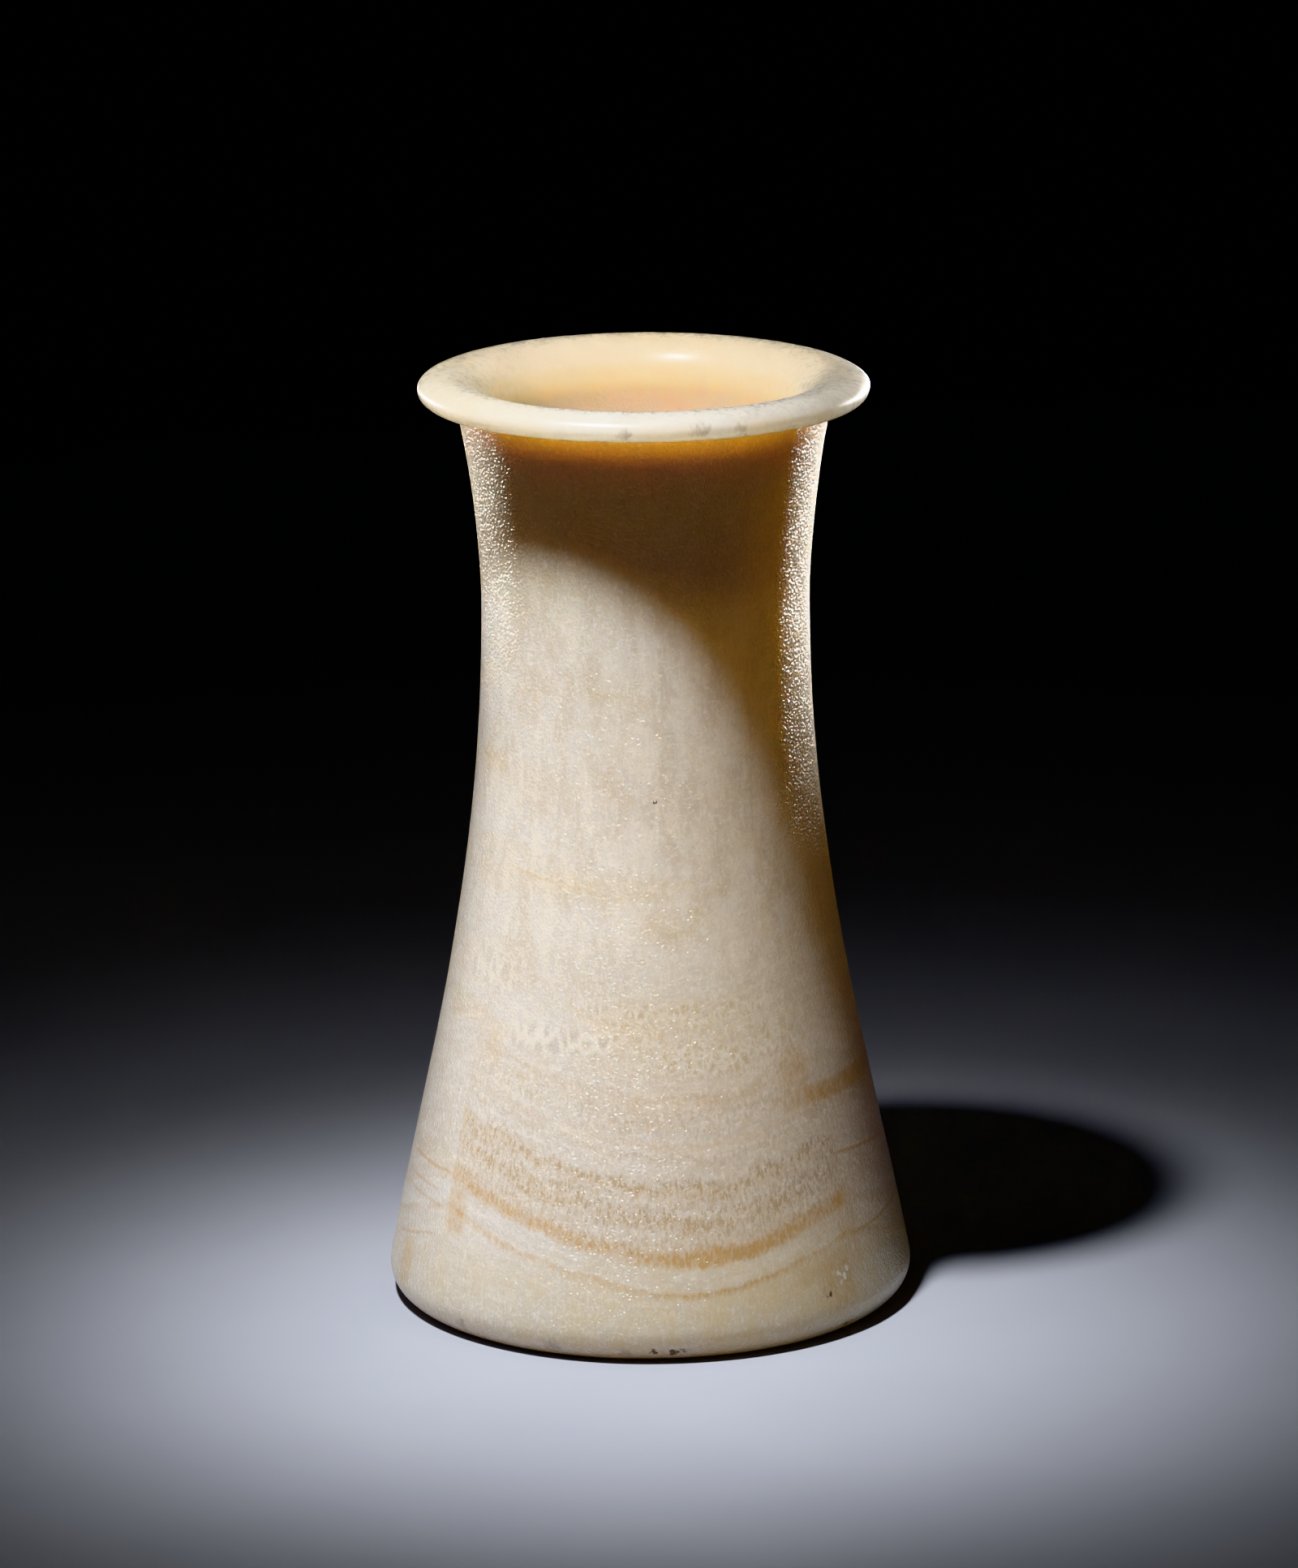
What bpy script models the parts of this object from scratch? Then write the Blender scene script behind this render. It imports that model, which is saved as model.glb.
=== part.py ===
"""A tall waisted jar with a broad turned-out rim, carved from one block of banded calcite.

Metres, +Z up. The origin is the middle of the flat underside. The jar is one turned solid: a profile
runs over the inside floor, up the bore, over the rim, down the outer side and in to the middle of the
underside, and is spun once round +Z.
"""

import math

import bmesh
import bpy

# Heights. Whatever belongs to the rim hangs from the crest, so it moves with the height.
HEIGHT = 0.250
WAIST_DROP = 0.0595  # crest down to the narrowest ring of the body

# Foot: a rounded heel under a wall that leans in
FOOT_DIAMETER = 0.140
HEEL_WIDTH = 0.0072  # how far in from the foot's widest ring the flat underside starts
HEEL_HEIGHT = 0.0076  # height of the foot's widest ring
FOOT_SLOPE = math.radians(10.75)  # lean of the wall where it leaves the heel

# Body and neck
WAIST_DIAMETER = 0.0865
NECK_DIAMETER = 0.0995  # where the neck meets the underside of the rim
NECK_SLOPE = math.radians(18.5)  # flare of the neck there

# Rim
RIM_OVERHANG = 0.0095  # how far the rim stands out past the neck
RIM_DROP = 0.0036  # crest down to the rim's widest ring
LIP_ROUND = 0.0035  # radius of the edge below that ring
CREST_INSET = 0.0072  # widest ring in to the crest
MOUTH_DEPTH = 0.0118  # depth over which the mouth turns down into the bore

# Stone left between the outside and the bore
WALL_AT_NECK = 0.0093
WALL_AT_WAIST = 0.0080
WALL_AT_FOOT = 0.0220
FLOOR_THICKNESS = 0.0180
FLOOR_ROUND = 0.0180  # radius of the corner between the floor and the bore

# How strongly each curve holds its end directions, as shares of the height it covers
BODY_PULL_FOOT = 0.295
BODY_PULL_WAIST = 0.420
NECK_PULL_WAIST = 0.270
NECK_PULL_RIM = 0.200
BORE_PULL = 0.400

# Mesh
TURN_STEPS = 72
ROUND_STEPS = 5
BODY_STEPS = 10
NECK_STEPS = 6
BORE_STEPS = 7
THROAT_STEPS = 4
MERGE_DISTANCE = 0.00001
SHARP_ANGLE = math.radians(40)

STONE_COLOUR = (0.78, 0.68, 0.53, 1.0)
STONE_ROUGHNESS = 0.38

CREST_Z = HEIGHT
WAIST_Z = HEIGHT - WAIST_DROP
FOOT_RADIUS = FOOT_DIAMETER / 2
WAIST_RADIUS = WAIST_DIAMETER / 2
NECK_RADIUS = NECK_DIAMETER / 2
RIM_RADIUS = NECK_RADIUS + RIM_OVERHANG


def arc(centre, radius_r, radius_z, start, end, steps):
    """Points (r, z) on an upright ellipse, from one angle to another. 0 points outwards, a quarter turn up."""
    points = []
    for step in range(steps + 1):
        angle = start + (end - start) * step / steps
        points.append((centre[0] + radius_r * math.cos(angle), centre[1] + radius_z * math.sin(angle)))
    return points


def curve(start, start_pull, end_pull, end, steps):
    """Points on a cubic curve. The pulls are steps from each end to its handle."""
    handles = (
        start,
        (start[0] + start_pull[0], start[1] + start_pull[1]),
        (end[0] + end_pull[0], end[1] + end_pull[1]),
        end,
    )
    points = []
    for step in range(steps + 1):
        t = step / steps
        weights = ((1 - t) ** 3, 3 * t * (1 - t) ** 2, 3 * t**2 * (1 - t), t**3)
        r = sum(weight * handle[0] for weight, handle in zip(weights, handles))
        z = sum(weight * handle[1] for weight, handle in zip(weights, handles))
        points.append((r, z))
    return points


def joined(*runs):
    """One outline from several runs, each of which starts where the run before it ends."""
    outline = list(runs[0])
    for run in runs[1:]:
        outline.extend(run[1:])
    return outline


def bore_profile():
    """The inside, from the middle of the floor up to the crest."""
    waist_bore = WAIST_RADIUS - WALL_AT_WAIST
    foot_bore = FOOT_RADIUS - WALL_AT_FOOT
    mouth_bore = NECK_RADIUS - WALL_AT_NECK
    crest_radius = RIM_RADIUS - CREST_INSET
    corner_z = FLOOR_THICKNESS + FLOOR_ROUND
    corner = arc((foot_bore - FLOOR_ROUND, corner_z), FLOOR_ROUND, FLOOR_ROUND, -math.pi / 2, 0, ROUND_STEPS)
    floor = [(0.0, FLOOR_THICKNESS), corner[0]]
    rise = WAIST_Z - corner_z
    shaft = curve(
        corner[-1],
        (0.0, BORE_PULL * rise),
        (0.0, -BORE_PULL * rise),
        (waist_bore, WAIST_Z),
        BORE_STEPS,
    )
    mouth_z = CREST_Z - MOUTH_DEPTH
    rise = mouth_z - WAIST_Z
    throat = curve(
        shaft[-1],
        (0.0, BORE_PULL * rise),
        (0.0, -BORE_PULL * rise),
        (mouth_bore, mouth_z),
        THROAT_STEPS,
    )
    flare = crest_radius - mouth_bore
    mouth = arc((crest_radius, mouth_z), flare, MOUTH_DEPTH, math.pi, math.pi / 2, ROUND_STEPS)
    return joined(floor, corner, shaft, throat, mouth)


def outer_profile():
    """The outside, from the crest down to the middle of the underside."""
    crest_radius = RIM_RADIUS - CREST_INSET
    rim_z = CREST_Z - RIM_DROP
    shoulder = arc((crest_radius, rim_z), CREST_INSET, RIM_DROP, math.pi / 2, 0, ROUND_STEPS)
    lip = arc((RIM_RADIUS - LIP_ROUND, rim_z), LIP_ROUND, LIP_ROUND, 0, -math.pi / 2, ROUND_STEPS)
    neck_z = rim_z - LIP_ROUND
    underside_of_rim = [lip[-1], (NECK_RADIUS, neck_z)]

    rise = neck_z - WAIST_Z
    pull = NECK_PULL_RIM * rise
    neck = curve(
        (NECK_RADIUS, neck_z),
        (-pull * math.sin(NECK_SLOPE), -pull * math.cos(NECK_SLOPE)),
        (0.0, NECK_PULL_WAIST * rise),
        (WAIST_RADIUS, WAIST_Z),
        NECK_STEPS,
    )

    # The heel's round starts where it is as steep as the wall above it, and runs over the widest ring
    heel_centre = (FOOT_RADIUS - HEEL_WIDTH, HEEL_HEIGHT)
    heel_top = math.atan(math.tan(FOOT_SLOPE) * HEEL_HEIGHT / HEEL_WIDTH)
    over = arc(heel_centre, HEEL_WIDTH, HEEL_HEIGHT, heel_top, 0, 1)
    under = arc(heel_centre, HEEL_WIDTH, HEEL_HEIGHT, 0, -math.pi / 2, ROUND_STEPS)
    heel = joined(over, under)
    rise = WAIST_Z - heel[0][1]
    pull = BODY_PULL_FOOT * rise
    body = curve(
        neck[-1],
        (0.0, -BODY_PULL_WAIST * rise),
        (-pull * math.sin(FOOT_SLOPE), pull * math.cos(FOOT_SLOPE)),
        heel[0],
        BODY_STEPS,
    )
    underside = [heel[-1], (0.0, 0.0)]
    return joined(shoulder, lip, underside_of_rim, neck, body, heel, underside)


def stone():
    """Cream-coloured calcite with a satin polish."""
    material = bpy.data.materials.new("alabaster")
    material.use_nodes = True
    shader = material.node_tree.nodes["Principled BSDF"]
    shader.inputs["Base Color"].default_value = STONE_COLOUR
    shader.inputs["Roughness"].default_value = STONE_ROUGHNESS
    shader.inputs["Metallic"].default_value = 0.0
    material.diffuse_color = STONE_COLOUR
    return material


def turned(name, outline, material):
    """An object whose outline at +X is spun once round +Z. The outline starts and ends on the axis."""
    form = bmesh.new()
    ring = [form.verts.new((r, 0.0, z)) for r, z in outline]
    sides = [form.edges.new(pair) for pair in zip(ring, ring[1:])]
    bmesh.ops.spin(
        form,
        geom=ring + sides,
        cent=(0.0, 0.0, 0.0),
        axis=(0.0, 0.0, 1.0),
        angle=2 * math.pi,
        steps=TURN_STEPS,
        use_merge=True,
    )
    bmesh.ops.remove_doubles(form, verts=form.verts, dist=MERGE_DISTANCE)
    bmesh.ops.recalc_face_normals(form, faces=form.faces)
    mesh = bpy.data.meshes.new(name)
    form.to_mesh(mesh)
    form.free()
    mesh.shade_smooth()
    mesh.set_sharp_from_angle(angle=SHARP_ANGLE)
    mesh.materials.append(material)
    piece = bpy.data.objects.new(name, mesh)
    bpy.context.scene.collection.objects.link(piece)
    return piece


def main():
    for old in list(bpy.data.objects):
        bpy.data.objects.remove(old, do_unlink=True)
    turned("jar", joined(bore_profile(), outer_profile()), stone())


main()
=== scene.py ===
"""Looks for the alabaster jar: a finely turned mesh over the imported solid, banded calcite, floor and lights.

Metres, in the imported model's frame: +Z up, -Y towards the side that the photograph shows. An angle round
the jar is measured from that side in degrees, positive towards its right. The stone's pattern is laid out
in millimetres.
"""

import math
from types import SimpleNamespace

import bpy
import numpy as np
from mathutils import Matrix, Vector, noise


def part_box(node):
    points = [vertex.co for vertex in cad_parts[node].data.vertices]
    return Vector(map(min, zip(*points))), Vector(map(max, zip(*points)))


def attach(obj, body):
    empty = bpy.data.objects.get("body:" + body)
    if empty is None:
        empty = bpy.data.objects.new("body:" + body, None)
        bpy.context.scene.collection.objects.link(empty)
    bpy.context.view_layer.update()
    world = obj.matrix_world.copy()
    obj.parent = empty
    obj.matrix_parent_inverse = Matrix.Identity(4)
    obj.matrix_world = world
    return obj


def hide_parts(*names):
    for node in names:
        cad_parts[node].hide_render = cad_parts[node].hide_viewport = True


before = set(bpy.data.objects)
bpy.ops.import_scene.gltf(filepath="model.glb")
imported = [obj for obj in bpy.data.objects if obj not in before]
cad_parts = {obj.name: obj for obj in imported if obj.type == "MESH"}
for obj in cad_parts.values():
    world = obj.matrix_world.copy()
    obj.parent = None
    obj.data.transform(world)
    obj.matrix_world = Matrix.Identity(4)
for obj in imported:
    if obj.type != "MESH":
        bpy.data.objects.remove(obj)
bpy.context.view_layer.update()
jar_low, jar_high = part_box("jar")

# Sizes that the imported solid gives
HEIGHT = jar_high.z - jar_low.z
FOOT_RADIUS = (jar_high.x - jar_low.x) / 2

# Sizes that the solid was turned from, repeated because its source isn't here
WAIST_DROP = 0.0595
HEEL_WIDTH = 0.0072
HEEL_HEIGHT = 0.0076
FOOT_SLOPE = math.radians(10.75)
WAIST_RADIUS = 0.0865 / 2
NECK_RADIUS = 0.0995 / 2
NECK_SLOPE = math.radians(18.5)
RIM_OVERHANG = 0.0095
RIM_DROP = 0.0036
LIP_ROUND = 0.0035
CREST_INSET = 0.0072
MOUTH_DEPTH = 0.0118
WALL_AT_NECK = 0.0093
WALL_AT_WAIST = 0.0080
WALL_AT_FOOT = 0.0220
FLOOR_THICKNESS = 0.0180
FLOOR_ROUND = 0.0180
BODY_PULL_FOOT = 0.295
BODY_PULL_WAIST = 0.420
NECK_PULL_WAIST = 0.270
NECK_PULL_RIM = 0.200
BORE_PULL = 0.400
THROAT_FILLET = 0.0018  # inside round between the neck and the underside of the rim

WAIST_Z = HEIGHT - WAIST_DROP
RIM_RADIUS = NECK_RADIUS + RIM_OVERHANG
CREST_RADIUS = RIM_RADIUS - CREST_INSET
NECK_Z = HEIGHT - RIM_DROP - LIP_ROUND
MOUTH_Z = HEIGHT - MOUTH_DEPTH

# How finely the mesh is turned, and how finely each run of the outline is divided
TURN_STEPS = 340
FLOOR_STEPS = 8
CORNER_STEPS = 8
SHAFT_STEPS = 24
THROAT_STEPS = 14
MOUTH_STEPS = 16
SHOULDER_STEPS = 10
LIP_STEPS = 9
UNDER_RIM_STEPS = 4
FILLET_STEPS = 5
NECK_STEPS = 40
BODY_STEPS = 132
HEEL_TOP_STEPS = 2
HEEL_STEPS = 12
UNDERSIDE_STEPS = 10
FILLET_GAP = 0.0005  # the neck's first ring stays this far below the inside round

MM = 0.001


def arc(centre, radius_r, radius_z, start, end, steps):
    """Points (r, z) on an upright ellipse, from angle to angle. 0 points outwards, a quarter turn up."""
    angles = [start + (end - start) * step / steps for step in range(steps + 1)]
    return [(centre[0] + radius_r * math.cos(a), centre[1] + radius_z * math.sin(a)) for a in angles]


def curve(start, start_pull, end_pull, end, steps):
    """Points on a cubic curve. The pulls are steps from each end to its handle."""
    handles = (
        start,
        (start[0] + start_pull[0], start[1] + start_pull[1]),
        (end[0] + end_pull[0], end[1] + end_pull[1]),
        end,
    )
    points = []
    for step in range(steps + 1):
        t = step / steps
        weights = ((1 - t) ** 3, 3 * t * (1 - t) ** 2, 3 * t**2 * (1 - t), t**3)
        r = sum(weight * handle[0] for weight, handle in zip(weights, handles))
        z = sum(weight * handle[1] for weight, handle in zip(weights, handles))
        points.append((r, z))
    return points


def line(start, end, steps):
    """Evenly spaced points from one point to another."""
    shares = [step / steps for step in range(steps + 1)]
    return [(start[0] + (end[0] - start[0]) * t, start[1] + (end[1] - start[1]) * t) for t in shares]


def joined(*runs):
    """One outline from several runs, each of which starts where the run before it ends."""
    outline = list(runs[0])
    for run in runs[1:]:
        outline.extend(run[1:])
    return outline


def bore_profile():
    """The inside, from the middle of the floor up to the crest."""
    waist_bore = WAIST_RADIUS - WALL_AT_WAIST
    foot_bore = FOOT_RADIUS - WALL_AT_FOOT
    mouth_bore = NECK_RADIUS - WALL_AT_NECK
    corner_z = FLOOR_THICKNESS + FLOOR_ROUND
    corner_middle = (foot_bore - FLOOR_ROUND, corner_z)
    corner = arc(corner_middle, FLOOR_ROUND, FLOOR_ROUND, -math.pi / 2, 0, CORNER_STEPS)
    floor = line((0.0, FLOOR_THICKNESS), corner[0], FLOOR_STEPS)
    pull = BORE_PULL * (WAIST_Z - corner_z)
    shaft = curve(corner[-1], (0.0, pull), (0.0, -pull), (waist_bore, WAIST_Z), SHAFT_STEPS)
    pull = BORE_PULL * (MOUTH_Z - WAIST_Z)
    throat = curve(shaft[-1], (0.0, pull), (0.0, -pull), (mouth_bore, MOUTH_Z), THROAT_STEPS)
    flare = CREST_RADIUS - mouth_bore
    mouth = arc((CREST_RADIUS, MOUTH_Z), flare, MOUTH_DEPTH, math.pi, math.pi / 2, MOUTH_STEPS)
    return joined(floor, corner, shaft, throat, mouth)


def outer_profile():
    """The outside, from the crest down to the middle of the underside."""
    rim_z = HEIGHT - RIM_DROP
    shoulder = arc((CREST_RADIUS, rim_z), CREST_INSET, RIM_DROP, math.pi / 2, 0, SHOULDER_STEPS)
    lip = arc((RIM_RADIUS - LIP_ROUND, rim_z), LIP_ROUND, LIP_ROUND, 0, -math.pi / 2, LIP_STEPS)

    # The neck runs up into an inside round that ends on the underside of the rim
    reach = THROAT_FILLET / math.tan((math.pi / 2 + NECK_SLOPE) / 2)
    round_centre = (NECK_RADIUS + reach, NECK_Z - THROAT_FILLET)
    flat_end, neck_end = math.pi / 2, math.pi - NECK_SLOPE
    fillet = arc(round_centre, THROAT_FILLET, THROAT_FILLET, flat_end, neck_end, FILLET_STEPS)
    under_rim = line(lip[-1], fillet[0], UNDER_RIM_STEPS)
    rise = NECK_Z - WAIST_Z
    pull = NECK_PULL_RIM * rise
    neck = curve(
        (NECK_RADIUS, NECK_Z),
        (-pull * math.sin(NECK_SLOPE), -pull * math.cos(NECK_SLOPE)),
        (0.0, NECK_PULL_WAIST * rise),
        (WAIST_RADIUS, WAIST_Z),
        NECK_STEPS,
    )
    neck = [fillet[-1]] + [point for point in neck if point[1] < fillet[-1][1] - FILLET_GAP]

    heel_centre = (FOOT_RADIUS - HEEL_WIDTH, HEEL_HEIGHT)
    heel_top = math.atan(math.tan(FOOT_SLOPE) * HEEL_HEIGHT / HEEL_WIDTH)
    over = arc(heel_centre, HEEL_WIDTH, HEEL_HEIGHT, heel_top, 0, HEEL_TOP_STEPS)
    under = arc(heel_centre, HEEL_WIDTH, HEEL_HEIGHT, 0, -math.pi / 2, HEEL_STEPS)
    heel = joined(over, under)
    rise = WAIST_Z - heel[0][1]
    pull = BODY_PULL_FOOT * rise
    body = curve(
        neck[-1],
        (0.0, -BODY_PULL_WAIST * rise),
        (-pull * math.sin(FOOT_SLOPE), pull * math.cos(FOOT_SLOPE)),
        heel[0],
        BODY_STEPS,
    )
    underside = line(heel[-1], (0.0, 0.0), UNDERSIDE_STEPS)
    return joined(shoulder, lip, under_rim, fillet, neck, body, heel, underside)


def smooth(low, high, value):
    """0 below low, 1 above high, and an S-shaped rise between. Low may be the larger, for a fall."""
    t = np.clip((value - low) / (high - low), 0.0, 1.0)
    return t * t * (3 - 2 * t)


# Growth layers of the calcite. A layer is level near the middle of the front and sweeps up towards two
# kinks, past which it falls. Its height at the middle of the front names it.
LAYER_MIDDLE = 10.0  # degrees
LAYER_SWEEP = 0.2975  # mm a degree
LAYER_BOWL = 14.0  # degrees over which the sweep starts
LEFT_KINK = -54.6
RIGHT_KINK = 52.0
FALL_PAST_LEFT = 0.33
FALL_PAST_RIGHT = 0.30


def layer_lift(angle):
    """How far above its middle a layer of the foot stands at an angle, in mm."""
    inside = np.clip(angle, LEFT_KINK, RIGHT_KINK)
    lift = LAYER_SWEEP * (np.sqrt((inside - LAYER_MIDDLE) ** 2 + LAYER_BOWL**2) - LAYER_BOWL)
    past_left = np.clip(LEFT_KINK - angle, 0, 45)
    past_right = np.clip(angle - RIGHT_KINK, 0, 45)
    lift = lift - FALL_PAST_LEFT * past_left - FALL_PAST_RIGHT * past_right
    # The unseen back has its own slow wave, which meets both sides
    behind = smooth(95, 130, np.abs(angle))
    wave = 4.0 + 3.0 * np.cos(np.radians(angle * 2 + 20)) + 1.5 * np.sin(np.radians(angle * 5))
    return lift * (1 - behind) + wave * behind


def growth(angle, height):
    """The layer that a point lies in, in mm, for an angle in degrees and a height in mm."""
    share = 1.0 - 0.25 * smooth(40, 70, height) - 0.40 * smooth(80, 150, height)
    return height - layer_lift(angle) * share


# Patches of tint, by what they do: angle, height, half width in degrees, half height in mm, strength
PATCHES = {
    "honey": (
        (8.5, 113.5, 11.5, 4.4, 0.62),
        (-70.5, 13.0, 4.0, 6.5, 0.75),
        (-63.5, 151.5, 7.5, 3.0, 0.55),
        (-64.0, 85.0, 13.0, 3.6, 0.50),
        (-47.0, 78.0, 3.0, 5.0, 0.50),
        (30.0, 122.0, 12.0, 3.0, 0.40),
        (47.0, 17.5, 7.5, 9.0, 0.80),
        (14.0, 84.0, 30.0, 9.0, 0.50),
        (12.0, 66.0, 26.0, 5.0, 0.35),
        # This patch lies in the rim's shadow on the neck and paints the amber of that shade
        (-50.0, 213.0, 12.0, 5.0, 0.45),
        (-22.0, 122.0, 34.0, 3.5, 0.38),
        (-57.0, 121.0, 10.0, 3.0, 0.45),
        (-12.0, 173.0, 10.0, 2.0, 0.25),
        (30.0, 52.0, 26.0, 5.0, 0.35),
        (-66.0, 45.0, 10.0, 3.0, 0.40),
        # This patch on the shaded lower right is partly the stone's honey and partly painted amber shade
        (64.0, 30.0, 15.0, 30.0, 0.45),
        (60.0, 62.0, 20.0, 3.5, 0.80),
        (-120.0, 90.0, 35.0, 12.0, 0.35),
        (140.0, 60.0, 40.0, 14.0, 0.40),
        (170.0, 165.0, 40.0, 10.0, 0.30),
        (100.0, 140.0, 24.0, 16.0, 0.30),
    ),
    "ochre": (
        (64.0, 64.6, 26.0, 2.4, 0.62),
        (42.0, 71.5, 5.0, 5.0, 0.35),
        (46.5, 15.5, 6.0, 7.5, 0.42),
        (38.0, 19.0, 4.0, 2.5, 0.25),
        (-71.0, 13.0, 3.2, 6.0, 0.35),
        (52.0, 27.0, 3.5, 10.0, 0.30),
        (-52.0, 33.0, 3.2, 6.0, 0.48),
        (170.0, 40.0, 22.0, 2.4, 0.35),
    ),
    "lobes": (
        (-26.0, 82.5, 17.0, 3.2, 0.75),
        (-54.0, 98.0, 14.0, 5.0, 0.40),
        (150.0, 88.0, 34.0, 7.0, 0.60),
    ),
    "cell": (
        (8.0, 91.0, 30.0, 2.4, 0.80),
        (16.0, 78.0, 17.0, 4.2, 1.00),
        (36.0, 80.0, 8.0, 7.0, 0.70),
        (2.0, 84.5, 26.0, 5.0, 0.40),
        (-30.0, 71.0, 16.0, 2.6, 0.35),
        (-120.0, 84.0, 26.0, 6.0, 0.50),
    ),
    "pale": (
        (-18.0, 205.5, 42.0, 3.0, 0.50),
        (2.6, 184.0, 2.5, 4.5, 0.70),
        (-58.0, 97.0, 12.0, 6.0, 0.40),
        (36.0, 93.0, 6.0, 4.0, 0.35),
        (-150.0, 120.0, 30.0, 18.0, 0.40),
        (120.0, 200.0, 40.0, 8.0, 0.40),
    ),
    "grey": (
        (-38.0, 185.0, 22.0, 10.0, 0.55),
        (-28.0, 146.0, 24.0, 8.0, 0.40),
        (-30.0, 100.0, 24.0, 7.0, 0.50),
        (-44.0, 57.0, 12.0, 4.0, 0.35),
        (150.0, 110.0, 30.0, 12.0, 0.35),
        (-100.0, 180.0, 26.0, 12.0, 0.35),
    ),
}


def patch_tint(patches, angle, height):
    """The strongest tint that any of the patches gives, with soft edges."""
    tint = np.zeros(len(angle))
    for middle, level, half_wide, half_tall, strength in patches:
        across = (angle - middle + 180.0) % 360.0 - 180.0
        reach = ((across / half_wide) ** 4 + ((height - level) / half_tall) ** 4) ** 0.25
        tint = np.maximum(tint, strength * smooth(1.35, 0.65, reach))
    return tint


# Old chips along the foot's edge and the lip: angle, height in mm, half width, half height and depth in mm
CHIPS = (
    (1.6, 3.0, 3.2, 1.3, 0.45),
    (5.4, 3.2, 3.0, 1.2, 0.50),
    (50.0, 2.2, 3.4, 1.3, 0.50),
    (42.8, 12.3, 1.6, 1.2, 0.40),
    (-22.0, 2.4, 2.4, 1.1, 0.35),
    (34.0, 244.0, 2.2, 1.2, 0.40),
    (41.0, 243.9, 2.6, 1.2, 0.45),
    (47.0, 244.2, 1.8, 1.1, 0.30),
    (-12.0, 243.6, 1.8, 1.0, 0.25),
    (118.0, 2.6, 4.0, 1.5, 0.50),
    (-140.0, 3.0, 3.0, 1.4, 0.45),
    (165.0, 244.1, 2.6, 1.2, 0.40),
)


def chipped(radius, angle, height):
    """How deep a point of the outside lies in a chip, in mm. The radius and height are in metres."""
    depth = 0.0
    for middle, level, half_wide, half_tall, deep in CHIPS:
        tall = (height / MM - level) / half_tall
        if abs(tall) < 1.0:
            across = math.radians((angle - middle + 180.0) % 360.0 - 180.0) * radius / MM / half_wide
            reach = math.hypot(across, tall)
            if reach < 1.0:
                depth = max(depth, deep * (1.0 - reach**2))
    return depth


# Unevenness left by hand grinding: waves a metre, and how far they stand out in mm
SLOW_WAVES, SLOW_DEPTH = 22.0, 0.16
FINE_WAVES, FINE_DEPTH = 75.0, 0.05
FINE_SHIFT = (7.0, 3.0, 1.0)
UNDERSIDE_FLAT = 0.0004  # below this height the surface stays flat


def relief(point):
    """How uneven the ground surface is at a point, in mm."""
    slow = noise.noise(Vector(point) * SLOW_WAVES)
    finer = noise.noise(Vector(point) * FINE_WAVES + Vector(FINE_SHIFT))
    return SLOW_DEPTH * slow + FINE_DEPTH * finer


def turned(name, outline):
    """The jar's mesh: the outline turned round +Z, with the surface's unevenness and the pattern's layers."""
    outline = np.array(outline)
    rings = outline[1:-1]
    slope = np.gradient(outline, axis=0)[1:-1]
    normal = np.stack([slope[:, 1], -slope[:, 0]], 1)
    normal /= np.linalg.norm(normal, axis=1)[:, None]
    crest = int(np.argmax(rings[:, 1]))
    turn = np.arange(TURN_STEPS) * 2 * math.pi / TURN_STEPS - math.pi
    points = []
    angles = []
    for index, ((r, z), (out_r, out_z)) in enumerate(zip(rings, normal)):
        for a in turn:
            sine, cosine = math.sin(a), math.cos(a)
            point = (r * sine, -r * cosine, z)
            push = -relief(point) * MM if z > UNDERSIDE_FLAT else 0.0
            if index > crest:
                push += chipped(r, math.degrees(a), z) * MM
            points.append(((r + out_r * push) * sine, -(r + out_r * push) * cosine, z + out_z * push))
    count = len(rings)
    first, last = len(points), len(points) + 1
    points.append((0.0, 0.0, outline[0][1]))
    points.append((0.0, 0.0, outline[-1][1]))
    faces = []
    for ring in range(count - 1):
        base = ring * TURN_STEPS
        for k in range(TURN_STEPS):
            n = (k + 1) % TURN_STEPS
            faces.append((base + k, base + n, base + TURN_STEPS + n, base + TURN_STEPS + k))
    end = (count - 1) * TURN_STEPS
    for k in range(TURN_STEPS):
        n = (k + 1) % TURN_STEPS
        faces.append((first, n, k))
        faces.append((last, end + k, end + n))
    mesh = bpy.data.meshes.new(name)
    mesh.from_pydata(points, [], faces)
    mesh.shade_smooth()
    mesh.update()

    place = np.array(points)
    angle = np.degrees(np.arctan2(place[:, 0], -place[:, 1]))
    height = place[:, 2] / MM
    inside = np.zeros(len(points))
    inside[: (crest + 1) * TURN_STEPS] = 1.0
    inside[first] = 1.0
    on_rim = smooth(NECK_Z / MM - 0.2, NECK_Z / MM + 0.6, height)
    values = {
        "growth": growth(angle, height),
        "inside": inside * smooth(HEIGHT / MM - 3.0, HEIGHT / MM - 18.0, height),
        "rim": np.where(inside > 0.5, smooth(MOUTH_Z / MM - 4, MOUTH_Z / MM + 4, height), on_rim),
    }
    for key, patches in PATCHES.items():
        values[key] = patch_tint(patches, angle, height) * (1 - inside)
    for key, value in values.items():
        layer = mesh.attributes.new(key, "FLOAT", "POINT")
        layer.data.foreach_set("value", value.astype(np.float32))
    piece = bpy.data.objects.new(name, mesh)
    bpy.context.scene.collection.objects.link(piece)
    return piece


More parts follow.
